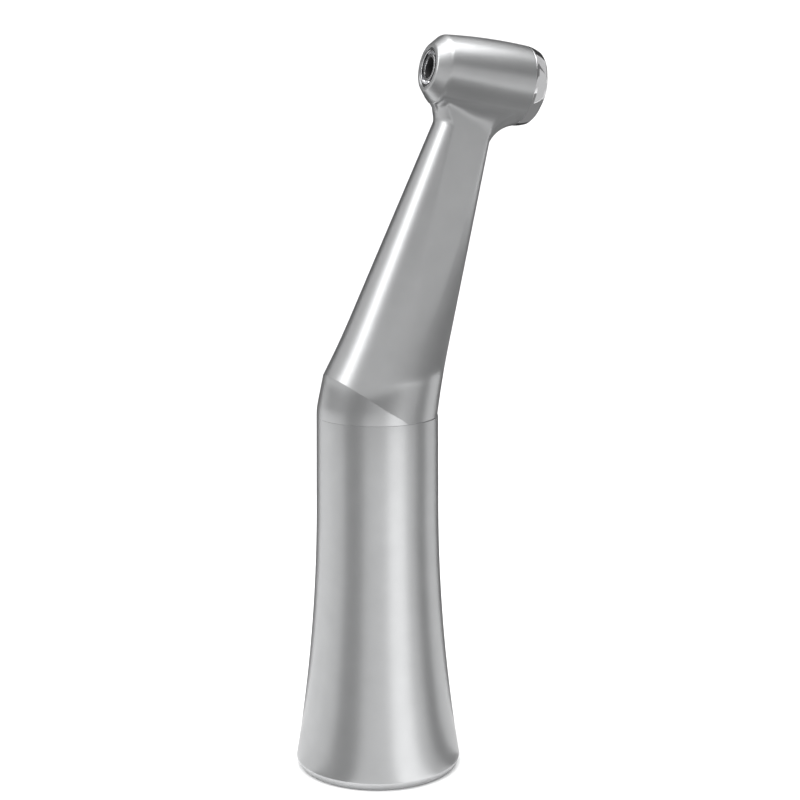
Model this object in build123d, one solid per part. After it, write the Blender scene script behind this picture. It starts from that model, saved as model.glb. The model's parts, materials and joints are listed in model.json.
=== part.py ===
from build123d import *
import os
from math import cos, pi, radians, sin, tan

# Dental contra-angle handpiece for a slow-speed motor, 1:1 drive, latch-type bur chuck.
# Millimetres. The origin is the centre of the motor socket's mouth, +Z runs up the handle,
# the neck leans towards +X and the bur hole looks towards -X. The object is symmetric in Y.

# ---- overall sizes -------------------------------------------------------------------------
SLEEVE_TOP_Z = 43.4          # joint line between the handle sleeve and the neck
BASE_RADIUS = 10.0           # flared rear end of the handle sleeve
FLARE_HEIGHT = 34.0          # the flare runs from the rear end up to here
BASE_BEVEL_HEIGHT = 1.0
BASE_BEVEL_DEPTH = 0.6
BEND_RISE = 1.45             # the two shaft axes cross this far above the joint line
BEND_ANGLE = 18.6            # between the handle axis and the neck axis
NECK_LENGTH = 40.15          # from the bend to the head axis, along the neck axis
CAP_ANGLE = 81.8             # between the neck axis and the head axis, on the push-button side

# ---- neck ----------------------------------------------------------------------------------
NECK_INSET = 0.3             # the neck cone at the bend is this much slimmer than the sleeve
NECK_TAPER = 5.92            # half-angle of the neck cone, degrees
NECK_FOOT_FLARE = 0.7        # the neck's foot opens out this much beyond the cone
NECK_FOOT_HEIGHT = 9.0
NECK_BELOW_BEND = 6.0        # the cone reaches this far below the bend before it is trimmed
BEND_CUT_ANGLE = 12.4        # slope of the slanted face under the bend
FOOT_COLLAR = 0.85           # short straight collar between the joint line and that face
FLAT_DEPTH_AT_HEAD = 2.42    # half the neck's width between its two side flats
FLAT_REFERENCE = 5.15        # distance from the head axis where that width is measured
FLAT_TAPER = 8.2             # angle of each flat to the neck axis, degrees
CHIN_DROP = 6.2              # how far below the head axis the chin meets the neck
CHIN_HEIGHT = 2.35           # height and slope of the cone under the head
CHIN_ANGLE = 24.5
CHIN_SHIFT = 0.3             # it stands this much towards the bur side
CHIN_OVERLAP = 0.7           # how far that cone's top stands inside the head
SHAFT_BORE = 2.05            # radius of the neck's long bore

# ---- head ----------------------------------------------------------------------------------
HEAD_SIDE_WALL = 1.88        # from the crown gear's tips to the barrel's widest radius
HEAD_SEAM_FLARE = 0.1        # the barrel is this much fuller at the screwed cap
HEAD_FRONT_TAPER = 0.59      # and this much slimmer at the edge of its front bevel
HEAD_WIDEST = 0.6            # height of the widest place, from the neck axis
HEAD_FACE_RADIUS = 2.75      # flat ring round the bur hole
HEAD_FRONT_WALL = 0.626      # in front of the bur-side bearing
HEAD_BEVEL_LENGTH = 1.25     # of the bevel round the bur face
SEAM_ABOVE_BEARING = 0.77
CAP_HEIGHT = 1.7
CAP_TAPER = 0.35
CAP_EDGE = 0.25              # bevel round the cap's top
CAP_BULGE = 0.06
BUTTON_RISE = 0.6            # the push-button stands above the cap by this much
BUTTON_RADIUS = 3.35
BUTTON_TRAVEL = 0.8
HEAD_BEARING_RADIUS = 3.175  # head bearings: 3.175 bore x 6.35 x 2.38
HEAD_BEARING_WIDTH = 2.38
SPINDLE_RADIUS = 1.5875
BUR_BORE = 1.19              # takes a 2.35 mm latch-type bur shank

# ---- drive ---------------------------------------------------------------------------------
HEAD_TEETH = 14
HEAD_GEAR_RADIUS = 2.55      # pitch radius at the heel
HEAD_GEAR_FACE = 0.95
HEAD_HUB_LENGTH = 0.32       # plain hub behind the head gears' heels
ADDENDUM = 0.8               # tooth height above and below the pitch cone, in modules
DEDENDUM = 1.05
TOOTH_ROOT = 0.15            # how far a tooth is sunk into its gear body, in modules
FLANK_ANGLE = 22.0
BEND_TEETH = 16
BEND_GEAR_RADIUS = 3.4
BEND_GEAR_FACE = 1.3
FRONT_HUB_RADIUS = 1.9       # hubs behind the two bend gears
REAR_HUB_RADIUS = 2.2
FRONT_SHAFT_RADIUS = 1.0
REAR_SHAFT_RADIUS = 1.5
FRONT_BEARING_RADIUS = 3.0
FRONT_BEARING_WIDTH = 2.3
REAR_BEARING_RADIUS = 3.5
REAR_BEARING_WIDTH = 3.0
BALL_SHARE = 0.29            # ball radius over the difference between a bearing's two radii
SHOULDER_SHARE = 0.45        # height of the ring shoulders over the ball radius
CAGE_SHARE = 0.36            # half the cage's width over the bearing's width
HEAD_BALLS = 9
FRONT_BALLS = 7
REAR_BALLS = 8
RUNNING_GAP = 0.03           # radial play of a shaft in a plain hole
FREE_GAP = 0.2               # between parts that pass each other without guiding
SLIDE_GAP = 0.05             # between parts that slide on each other

# ---- motor end -----------------------------------------------------------------------------
SOCKET_BORE = 4.8            # takes the motor's nose
SOCKET_LENGTH = 18.2
SOCKET_WALL = 1.0
SOCKET_LAND = 0.5            # the socket's collars stand out this far to meet the sleeve
SLEEVE_WALL = 1.0
SLEEVE_TOP_TAPER = 0.07      # the sleeve is this much slimmer at the joint line
SPIGOT_WALL = 1.1            # of the neck's foot, round the bearing carrier
CARRIER_RIB = 0.5            # inside step and collar of the bearing carrier
CARRIER_COLLAR = 2.0
SPIGOT_LENGTH = 9.0          # the neck's foot goes into the sleeve by this much
REAR_RECESS_RADIUS = 8.2
REAR_RECESS_DEPTH = 1.6
CLUTCH_TRAVEL = 0.7
CLAW_RADIUS = 2.9
CLAW_LOW = 18.6
CLAW_HIGH = 22.6
JAW_HEIGHT = 1.6
JAW_WIDTH = 1.6
CROSS_PIN_Z = 21.6
CROSS_PIN_RADIUS = 0.4
CLUTCH_WIRE = 0.18
CLUTCH_COILS = 3
SNAP_Z = 6.0                 # the ring that clicks onto the motor's nose
SNAP_WIRE = 0.3
SNAP_PLAY = 0.1
SNAP_GAP = 3.0               # the opening in the split ring
SEAL_CORD = 0.35
SEAL_SQUEEZE = 0.1           # how far a seal groove opens beyond the surface
SOCKET_COLLAR = 3.0          # height of the two collars that centre the socket in the sleeve
SPACER_NUT_HEIGHT = 2.2
SOCKET_SEAL_Z = 1.5          # the socket's seal groove, below the socket's top
FOOT_SEAL_Z = 3.0            # the foot's seal groove, above the spigot's end
OUTER_SPACER_WALL = 0.5
INNER_SPACER_WALL = 0.5
SHAFT_COLLAR_HEIGHT = 0.45
SPRING_ROOM = 0.42           # the clutch spring's coil runs this far outside the rear shaft

# ---- small parts ---------------------------------------------------------------------------
SPINDLE_HOLE = 1.95          # opening in the bur face
SHIELD_RADIUS = 2.35
SHIELD_DEPTH = 0.45
CAP_BEARING_WIDTH = 1.6       # a thinner bearing fits between the pinion and the cap
CAP_THREAD_LENGTH = 0.7
CROWN_BORE = 1.45
SPINDLE_INSET = 0.15         # spindle's nose behind the bur face, and its top above the latch
SHIELD_INSET = 0.08
CAP_THREAD_RADIUS = 3.95
CAP_LIP_LOW = 0.9
CAP_FLAT_DISTANCE = 4.25      # the cap's two spanner flats, from the head axis
CAP_FLAT_LOW = 0.35
SKIRT_STEP = 0.22
SKIRT_THICKNESS = 0.45
BUTTON_THICKNESS = 0.9
BUTTON_EDGE = 0.4
SPRING_RADIUS = 2.88
SPRING_WIRE = 0.13
WASHER_THICKNESS = 0.15
WASHER_BORE = 2.75
BUTTON_WALL = 0.25
PLUNGER_GAP = 0.1
BUTTON_COILS = 2.5
LATCH_THICKNESS = 0.3
LATCH_RIM = 0.65
LATCH_RELIEF = 0.2           # the bur bore opens out by this much round the latch
LATCH_TOOTH = 0.45           # half its width
LATCH_TOOTH_LENGTH = 0.8
LATCH_TOOTH_HOLD = 0.25      # of that length lies outside the spindle, in the plate
LATCH_TRAVEL = 0.35
HEAD_HUB_RADIUS = 2.3
CARRIER_NUT_BORE = 2.9
CARRIER_NUT_HEIGHT = 0.9
FOOT_NUT_RADIUS = 3.6
FOOT_NUT_BORE = 2.4
NOTCH_WIDTH = 0.9            # wrench notches in the two bearing nuts
NOTCH_DEPTH = 0.45
BUSH_LENGTH = 3.0

# ---- clearances ----------------------------------------------------------------------------
BALL_GAP = 0.02              # between a bearing's balls and its grooves
RING_GAP = 0.06              # between a bearing's cage and its rings
GEAR_BACKLASH = 0.10
SEAT_GAP = 0.01              # end play of springs and seals in their rooms
CUT = 0.1                    # overrun of a cutter past the face that it opens

NODES = {}


def perpendicular(toward, axis):
    """The part of one direction that is at right angles to an axis, as a unit vector."""
    return (toward - axis * toward.dot(axis)).normalized()


def facing(origin, axis, toward):
    """A work plane at origin with its Z along axis and its X on the side of toward."""
    return Plane(origin=origin, x_dir=perpendicular(toward, axis), z_dir=axis)


# ---- the three axes ------------------------------------------------------------------------
UP = Vector(0, 0, 1)
FORWARD = Vector(1, 0, 0)
BEND_POINT = Vector(0, 0, SLEEVE_TOP_Z + BEND_RISE)
NECK_AXIS = Vector(sin(radians(BEND_ANGLE)), 0, cos(radians(BEND_ANGLE)))
HEAD_POINT = BEND_POINT + NECK_AXIS * NECK_LENGTH
HEAD_TILT = radians(BEND_ANGLE + CAP_ANGLE)
CAP_AXIS = Vector(sin(HEAD_TILT), 0, cos(HEAD_TILT))
HANDLE = Plane.XY
NECK = facing(BEND_POINT, NECK_AXIS, FORWARD)
HEAD = facing(HEAD_POINT, CAP_AXIS, UP)


# ---- shape helpers -------------------------------------------------------------------------
def turned(*points):
    """Solid of revolution about Z of the closed outline through (radius, height) points."""
    outline = make_face(Polyline(*[(r, 0, z) for r, z in points], close=True))
    return revolve(outline, Axis.Z, 360)


def rod(radius, low, high):
    """Round bar about Z between two heights."""
    return Pos(0, 0, low) * extrude(Circle(radius), high - low)


def tube(outer, inner, low, high):
    """Round tube about Z between two heights."""
    return Pos(0, 0, low) * extrude(Circle(outer) - Circle(inner), high - low)


def ring_cord(radius, cord, height):
    """O-ring or wire ring: a torus about Z at one height."""
    return Pos(0, 0, height) * Torus(radius, cord)


def around(count, shape, start=0.0):
    """Copies of a shape spaced evenly about Z."""
    return [Rot(0, 0, start + 360 * i / count) * shape for i in range(count)]


def keep(name, plane, shape):
    """Places a sub-part by its work plane and stores it as a node."""
    NODES[name] = plane.location * shape


# ---- gears ---------------------------------------------------------------------------------
def bevel_gear(teeth, pitch_radius, cone_angle, face, bore, hub_radius, hub_length, turn):
    """Straight bevel gear with its apex at the origin and its axis along +Z.

    The teeth are straight-flanked and all their edges run to the apex. The heel is the
    cone square to the pitch cone, and a plain hub carries on behind it.
    """
    slope = radians(cone_angle)
    outer = pitch_radius / sin(slope)
    inner = outer - face
    module = 2 * pitch_radius / teeth
    addendum = ADDENDUM * module
    dedendum = DEDENDUM * module
    pitch_width = pi * module / 2 - GEAR_BACKLASH
    flank = tan(radians(FLANK_ANGLE))

    def on_cone(distance, height):
        """(radius, height along Z) at a distance from the apex and a height off the pitch cone."""
        return (
            distance * sin(slope) + height * cos(slope),
            distance * cos(slope) - height * sin(slope),
        )

    def section(distance):
        """One tooth's outline across the pitch cone, at a distance from the apex."""
        scale = distance / outer
        radius, height = on_cone(distance, 0)
        across = Plane(
            origin=(radius, 0, height), x_dir=(0, 1, 0), z_dir=(sin(slope), 0, cos(slope))
        )
        side = 1 if across.y_dir.X > 0 else -1
        top = addendum * scale
        foot = -(dedendum + TOOTH_ROOT * module) * scale
        half_top = pitch_width * scale / 2 - top * flank
        half_foot = pitch_width * scale / 2 - foot * flank
        outline = Polyline(
            (-half_foot, side * foot),
            (half_foot, side * foot),
            (half_top, side * top),
            (-half_top, side * top),
            close=True,
        )
        return across.location * make_face(outline)

    tooth = loft([section(inner), section(outer)], ruled=True)
    toe = on_cone(inner, -dedendum * inner / outer)
    heel = on_cone(outer, -dedendum)
    body = turned(
        (bore, toe[1]),
        toe,
        heel,
        (hub_radius, heel[1] + max(0.0, heel[0] - hub_radius) * tan(slope) / 4),
        (hub_radius, heel[1] + hub_length),
        (bore, heel[1] + hub_length),
    )
    return Rot(0, 0, turn) * (body + around(teeth, tooth))


def gear_heights(teeth, pitch_radius, cone_angle, face):
    """Distances along a gear's axis from its apex to its toe plane and to its heel's root."""
    slope = radians(cone_angle)
    outer = pitch_radius / sin(slope)
    inner = outer - face
    root = DEDENDUM * 2 * pitch_radius / teeth
    toe = inner * cos(slope) + root * inner / outer * sin(slope)
    heel = outer * cos(slope) + root * sin(slope)
    return toe, heel


HEAD_CONE = CAP_ANGLE / 2
HEAD_GEAR_TOE, HEAD_GEAR_HEEL = gear_heights(HEAD_TEETH, HEAD_GEAR_RADIUS, HEAD_CONE, HEAD_GEAR_FACE)
HEAD_GEAR_BACK = HEAD_GEAR_HEEL + HEAD_HUB_LENGTH
HEAD_GEAR_SHOULDER = HEAD_GEAR_HEEL - HEAD_HUB_LENGTH     # about the height of the heel's tooth tips
HEAD_GEAR_TIP = HEAD_GEAR_RADIUS * (1 + 2 * ADDENDUM / HEAD_TEETH * cos(radians(HEAD_CONE)))
BEND_CONE = (180 - BEND_ANGLE) / 2
BEND_GEAR_TOE, BEND_HUB_START = gear_heights(BEND_TEETH, BEND_GEAR_RADIUS, BEND_CONE, BEND_GEAR_FACE)


# ---- ball bearings -------------------------------------------------------------------------
def ball_bearing(name, plane, low, bore, outer, width, balls):
    """Deep-groove ball bearing about Z: two rings, a set of balls and a cage between them."""
    pitch = (bore + outer) / 2
    ball = BALL_SHARE * (outer - bore)
    middle = low + width / 2
    shoulder = SHOULDER_SHARE * ball
    groove = ring_cord(pitch, ball + BALL_GAP, middle)
    half_cage = CAGE_SHARE * width
    ball_set = around(balls, Pos(pitch, 0, middle) * Sphere(ball))
    pocket = Rot(0, 90, 0) * Cylinder(ball + RING_GAP / 2, 2 * ball)
    pockets = around(balls, Pos(pitch, 0, middle) * pocket)
    cage = tube(
        pitch + shoulder - RING_GAP, pitch - shoulder + RING_GAP, middle - half_cage, middle + half_cage
    )
    keep(name + "_outer_ring", plane, tube(outer, pitch + shoulder, low, low + width) - groove)
    keep(name + "_inner_ring", plane, tube(pitch - shoulder, bore, low, low + width) - groove)
    keep(name + "_balls", plane, Compound(children=ball_set))
    keep(name + "_cage", plane, cage - pockets)


# ---- places along the axes, and radii that follow from what they hold -----------------------
SLEEVE_BORE = SOCKET_BORE + SOCKET_WALL + SOCKET_LAND
SLEEVE_RADIUS = SLEEVE_BORE + SLEEVE_WALL
SLEEVE_TOP_RADIUS = SLEEVE_RADIUS - SLEEVE_TOP_TAPER
NECK_ROOT_RADIUS = SLEEVE_RADIUS - NECK_INSET
CARRIER_RADIUS = SLEEVE_BORE - SPIGOT_WALL      # bearing carrier tube, screwed into the neck's foot
SEAL_RADIUS = SLEEVE_BORE - SEAL_CORD + SEAL_SQUEEZE
CROWN_DISTANCE = HEAD_GEAR_BACK + HEAD_BEARING_WIDTH    # bottom of the head's cavity
BUR_BEARING_LOW = -CROWN_DISTANCE
CAP_BEARING_LOW = HEAD_GEAR_TIP + FREE_GAP
CAP_BEARING_HIGH = CAP_BEARING_LOW + CAP_BEARING_WIDTH
HEAD_RADIUS = HEAD_GEAR_TIP + HEAD_SIDE_WALL
HEAD_ROOM = max(HEAD_BEARING_RADIUS, HEAD_GEAR_TIP + FREE_GAP)
HEAD_SEAM_RADIUS = HEAD_RADIUS + HEAD_SEAM_FLARE
HEAD_FRONT_EDGE_RADIUS = HEAD_RADIUS - HEAD_FRONT_TAPER
CAP_TOP_RADIUS = HEAD_SEAM_RADIUS - CAP_TAPER
HEAD_FACE = CROWN_DISTANCE + HEAD_FRONT_WALL
HEAD_FRONT_EDGE = HEAD_FACE - HEAD_BEVEL_LENGTH
HEAD_SEAM = CAP_BEARING_HIGH + SEAM_ABOVE_BEARING
CAP_THREAD_LOW = HEAD_SEAM - CAP_THREAD_LENGTH
LATCH_LOW = CAP_BEARING_HIGH + RING_GAP
SPINDLE_TOP = LATCH_LOW + LATCH_THICKNESS + SPINDLE_INSET
BUTTON_TOP = HEAD_SEAM + CAP_HEIGHT + BUTTON_RISE
BUTTON_UNDERSIDE = BUTTON_TOP - BUTTON_THICKNESS
NOSE_BEARING_LOW = 5.0                    # front shaft's ball bearing, up the neck axis
FOOT_NUT_LOW = 3.7
PINION_BACK = NECK_LENGTH - HEAD_GEAR_BACK - FREE_GAP     # end of the pinion's room, up the neck axis
BUSH_HIGH = PINION_BACK
BUSH_LOW = BUSH_HIGH - BUSH_LENGTH
LOWER_BEARING_LOW = 25.0                  # rear shaft's two bearings, up the handle
UPPER_BEARING_LOW = 37.4
CARRIER_LOW = SOCKET_LENGTH + SPACER_NUT_HEIGHT
CARRIER_HIGH = UPPER_BEARING_LOW + REAR_BEARING_WIDTH
SPIGOT_LOW = SLEEVE_TOP_Z - SPIGOT_LENGTH
GEAR_ROOM = 4.3                           # radius of the hollow round the bend gears
HOLLOW_DOME = 0.6                         # that hollow goes this far past the joint line
HOLLOW_LOW = -2.2                         # and starts here on the neck axis


def neck_radius(distance):
    """Radius of the neck cone at a distance up the neck axis from the bend."""
    return NECK_ROOT_RADIUS - distance * tan(radians(NECK_TAPER))


# ---- the housing: head, neck and foot in one machined piece --------------------------------
def neck_body():
    """The neck cone with its flared foot, trimmed by the slanted face under the bend."""
    below = NECK_BELOW_BEND
    slope = (tan(radians(NECK_TAPER)), 0, -1)
    top = (neck_radius(NECK_LENGTH), 0, NECK_LENGTH)
    knee = (neck_radius(NECK_FOOT_HEIGHT), 0, NECK_FOOT_HEIGHT)
    foot = (neck_radius(-below) + 2 * NECK_FOOT_FLARE, 0, -below)
    side = Line(top, knee)
    flare = TangentArc(knee, foot, tangent=slope)
    rest = Polyline(foot, (0, 0, -below), (0, 0, NECK_LENGTH), top)
    cone = NECK.location * revolve(make_face([side, flare, rest]), Axis.Z, 360)
    lean = (sin(radians(BEND_CUT_ANGLE)), 0, cos(radians(BEND_CUT_ANGLE)))
    collar_top = SLEEVE_TOP_Z + FOOT_COLLAR
    slanted = extrude(Pos(0, 0, collar_top) * Circle(SLEEVE_TOP_RADIUS), NECK_LENGTH + 2 * HEAD_RADIUS, dir=lean)
    collar = rod(SLEEVE_TOP_RADIUS, SLEEVE_TOP_Z, collar_top)
    return cone & (slanted + collar)


def head_web():
    """The cone that opens the neck out into the underside of the head."""
    chin = NECK_LENGTH - CHIN_DROP
    low = neck_radius(chin)
    high = low + CHIN_HEIGHT * tan(radians(CHIN_ANGLE))
    top = chin + CHIN_HEIGHT
    inside = top + CHIN_OVERLAP
    cone = turned((0, chin), (low, chin), (high, top), (high, inside), (0, inside))
    return NECK.location * Pos(-CHIN_SHIFT, 0, 0) * cone


def side_flats():
    """The two blocks that cut the neck's side flats."""
    block = Box(
        4 * BASE_RADIUS, 2 * BASE_RADIUS, 3 * NECK_LENGTH, align=(Align.CENTER, Align.MIN, Align.CENTER)
    )
    place = Pos(0, FLAT_DEPTH_AT_HEAD, NECK_LENGTH - FLAT_REFERENCE) * Rot(FLAT_TAPER, 0, 0)
    one = place * block
    other = mirror(one, Plane.XZ)
    return NECK.location * one + NECK.location * other


def head_barrel():
    """The head barrel: flat bur face, wide bevel, gently bulging side, flat cap seat."""
    face = (HEAD_FACE_RADIUS, 0, -HEAD_FACE)
    edge = (HEAD_FRONT_EDGE_RADIUS, 0, -HEAD_FRONT_EDGE)
    widest = (HEAD_RADIUS, 0, HEAD_WIDEST)
    seam = (HEAD_SEAM_RADIUS, 0, HEAD_SEAM)
    bevel = Polyline((0, 0, -HEAD_FACE), face, edge)
    bulge = ThreePointArc(edge, widest, seam)
    seat = Polyline(seam, (0, 0, HEAD_SEAM), (0, 0, -HEAD_FACE))
    return HEAD.location * revolve(make_face([bevel, bulge, seat]), Axis.Z, 360)


def housing():
    """The machined outer piece with its spigot, shaft bore, gear hollows and bearing seats."""
    outer = neck_body() + head_web() - side_flats() + head_barrel()
    outer += tube(SLEEVE_BORE, CARRIER_RADIUS, SPIGOT_LOW, SLEEVE_TOP_Z + HOLLOW_DOME)
    carrier_seat = rod(CARRIER_RADIUS, SPIGOT_LOW - CUT, SLEEVE_TOP_Z)
    gear_hollow = rod(GEAR_ROOM, SLEEVE_TOP_Z - CUT, SLEEVE_TOP_Z + HOLLOW_DOME)
    nose = NOSE_BEARING_LOW + FRONT_BEARING_WIDTH
    neck_bore = rod(GEAR_ROOM, HOLLOW_LOW, FOOT_NUT_LOW)
    neck_bore += rod(FOOT_NUT_RADIUS, FOOT_NUT_LOW - CUT, NOSE_BEARING_LOW)
    neck_bore += rod(FRONT_BEARING_RADIUS, NOSE_BEARING_LOW - CUT, nose)
    neck_bore += rod(SHAFT_BORE, nose - CUT, NECK_LENGTH)
    pinion_room = turned(
        (0, PINION_BACK - SEAT_GAP),
        (SHAFT_BORE, PINION_BACK - SEAT_GAP),
        (HEAD_GEAR_TIP + FREE_GAP, NECK_LENGTH - HEAD_GEAR_SHOULDER),
        (HEAD_GEAR_TIP + FREE_GAP, NECK_LENGTH - SPINDLE_RADIUS),
        (0, NECK_LENGTH - SPINDLE_RADIUS),
    )
    head_bore = rod(HEAD_BEARING_RADIUS, -CROWN_DISTANCE, HEAD_SEAM + 1)
    head_bore += rod(HEAD_ROOM, -HEAD_GEAR_BACK, CAP_BEARING_LOW)
    head_bore += rod(SPINDLE_HOLE, -HEAD_FACE - 1, 0)
    head_bore += rod(SHIELD_RADIUS, -HEAD_FACE - 1, -HEAD_FACE + SHIELD_DEPTH)
    head_bore += rod(CAP_THREAD_RADIUS, CAP_THREAD_LOW, HEAD_SEAM + 1)
    outer -= gear_hollow + carrier_seat
    outer -= NECK.location * neck_bore
    outer -= NECK.location * pinion_room
    outer -= HEAD.location * head_bore
    groove = ring_cord(SEAL_RADIUS, SEAL_CORD, SPIGOT_LOW + FOOT_SEAL_Z)
    return outer - groove


# ---- head: spindle, crown gear, latch, button, cap -----------------------------------------
def chuck_spindle():
    """The hollow spindle that holds the bur: a tube with a thin neck for the crown gear."""
    nose = -HEAD_FACE + SPINDLE_INSET
    gear_back = -HEAD_GEAR_BACK
    blank = turned(
        (BUR_BORE, nose),
        (SPINDLE_RADIUS, nose),
        (SPINDLE_RADIUS, gear_back),
        (CROWN_BORE, gear_back),
        (CROWN_BORE, -HEAD_GEAR_TOE),
        (SPINDLE_RADIUS, -HEAD_GEAR_TOE),
        (SPINDLE_RADIUS, SPINDLE_TOP),
        (BUR_BORE + LATCH_RELIEF, SPINDLE_TOP),
        (BUR_BORE + LATCH_RELIEF, LATCH_LOW - LATCH_RELIEF),
        (BUR_BORE, LATCH_LOW - LATCH_RELIEF),
    )
    latch_slot = Pos(SPINDLE_RADIUS, 0, LATCH_LOW + LATCH_THICKNESS / 2) * Box(
        2 * SPINDLE_RADIUS, 2 * (LATCH_TOOTH + SLIDE_GAP), LATCH_THICKNESS + 2 * SLIDE_GAP
    )
    return blank - latch_slot


def bur_latch():
    """Sliding latch plate round the spindle's top, with the tooth that holds the bur."""
    outer = SPINDLE_RADIUS + LATCH_RIM
    middle = LATCH_LOW + LATCH_THICKNESS / 2
    high = LATCH_LOW + LATCH_THICKNESS
    room = SPINDLE_RADIUS + SLIDE_GAP
    plate = tube(outer, room, LATCH_LOW, high)
    slot_room = Pos(0, 0, middle) * Box(2 * LATCH_TRAVEL, 2 * room, 2 * LATCH_THICKNESS)
    opened = Pos(-LATCH_TRAVEL, 0, 0) * rod(room, LATCH_LOW, high)
    inwards = (Align.MAX, Align.CENTER, Align.CENTER)
    tooth = Box(LATCH_TOOTH_LENGTH, 2 * LATCH_TOOTH, LATCH_THICKNESS, align=inwards)
    tooth = Pos(SPINDLE_RADIUS + LATCH_TOOTH_HOLD, 0, middle) * tooth
    return plate - opened - slot_room + tooth


def push_button():
    """Polished release button: a round-edged disc, a retaining skirt and a centre plunger."""
    disc = rod(BUTTON_RADIUS, BUTTON_UNDERSIDE, BUTTON_TOP)
    disc = fillet(disc.edges().sort_by(Axis.Z)[-1], BUTTON_EDGE)
    skirt_low = HEAD_SEAM + CAP_LIP_LOW - SKIRT_THICKNESS
    inside = BUTTON_RADIUS - BUTTON_WALL
    skirt = tube(BUTTON_RADIUS + SKIRT_STEP, inside, skirt_low, skirt_low + SKIRT_THICKNESS)
    wall = tube(BUTTON_RADIUS, inside, skirt_low, BUTTON_UNDERSIDE)
    plunger_low = SPINDLE_TOP + BUTTON_TRAVEL + PLUNGER_GAP
    plunger = rod(BUR_BORE - PLUNGER_GAP, plunger_low, BUTTON_UNDERSIDE)
    return disc + wall + skirt + plunger


def head_cap():
    """Screwed chrome cap: a ring with two spanner flats and a lip that keeps the push-button in."""
    lip = BUTTON_RADIUS + SLIDE_GAP
    room = BUTTON_RADIUS + SKIRT_STEP + SLIDE_GAP
    top = HEAD_SEAM + CAP_HEIGHT
    lip_low = HEAD_SEAM + CAP_LIP_LOW
    seam = (HEAD_SEAM_RADIUS, 0, HEAD_SEAM)
    shoulder = (CAP_TOP_RADIUS, 0, top - CAP_EDGE)
    middle = ((HEAD_SEAM_RADIUS + CAP_TOP_RADIUS) / 2 + CAP_BULGE, 0, (HEAD_SEAM + top - CAP_EDGE) / 2)
    crown = (CAP_TOP_RADIUS - CAP_EDGE, 0, top)
    lip_edge = [(lip, 0, top), (lip, 0, lip_low), (room, 0, lip_low), (room, 0, CAP_THREAD_LOW)]
    thread = [(CAP_THREAD_RADIUS, 0, CAP_THREAD_LOW), (CAP_THREAD_RADIUS, 0, HEAD_SEAM)]
    inside = Polyline(crown, *lip_edge, *thread, seam)
    outline = [ThreePointArc(seam, middle, shoulder), Line(shoulder, crown), inside]
    ring = revolve(make_face(outline), Axis.Z, 360)
    flat_low = HEAD_SEAM + CAP_FLAT_LOW
    beside = Box(2 * HEAD_RADIUS, HEAD_RADIUS, CAP_HEIGHT, align=(Align.CENTER, Align.MIN, Align.MIN))
    return ring - around(2, Pos(0, CAP_FLAT_DISTANCE, flat_low) * beside)


def coil_spring(radius, wire, low, high, turns):
    """Round-wire compression spring about Z."""
    path = Helix(pitch=(high - low - 2 * wire) / turns, height=high - low - 2 * wire, radius=radius)
    start = Plane(origin=path @ 0, z_dir=path % 0)
    return Pos(0, 0, low + wire) * sweep(start * Circle(wire), path=path)


def make_head():
    crown = bevel_gear(
        HEAD_TEETH, HEAD_GEAR_RADIUS, HEAD_CONE, HEAD_GEAR_FACE, CROWN_BORE, HEAD_HUB_RADIUS,
        HEAD_HUB_LENGTH, 180 / HEAD_TEETH
    )
    keep("crown_gear", facing(HEAD_POINT, -CAP_AXIS, -NECK_AXIS), crown)
    keep("chuck_spindle", HEAD, chuck_spindle())
    keep("bur_latch", HEAD, bur_latch())
    keep("push_button", HEAD, push_button())
    keep("head_cap", HEAD, head_cap())
    spring_low = CAP_BEARING_HIGH + WASHER_THICKNESS
    spring = coil_spring(
        SPRING_RADIUS, SPRING_WIRE, spring_low + SEAT_GAP, BUTTON_UNDERSIDE - SEAT_GAP, BUTTON_COILS
    )
    keep("button_spring", HEAD, spring)
    keep("preload_washer", HEAD, tube(HEAD_BEARING_RADIUS, WASHER_BORE, CAP_BEARING_HIGH, spring_low))
    shield = tube(SHIELD_RADIUS, SPINDLE_HOLE, -HEAD_FACE + SHIELD_INSET, -HEAD_FACE + SHIELD_DEPTH)
    keep("bur_side_shield", HEAD, shield)
    ball_bearing(
        "bur_side_bearing", HEAD, BUR_BEARING_LOW, SPINDLE_RADIUS, HEAD_BEARING_RADIUS,
        HEAD_BEARING_WIDTH, HEAD_BALLS
    )
    ball_bearing(
        "cap_side_bearing", HEAD, CAP_BEARING_LOW, SPINDLE_RADIUS, HEAD_BEARING_RADIUS,
        CAP_BEARING_WIDTH, HEAD_BALLS
    )


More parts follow.
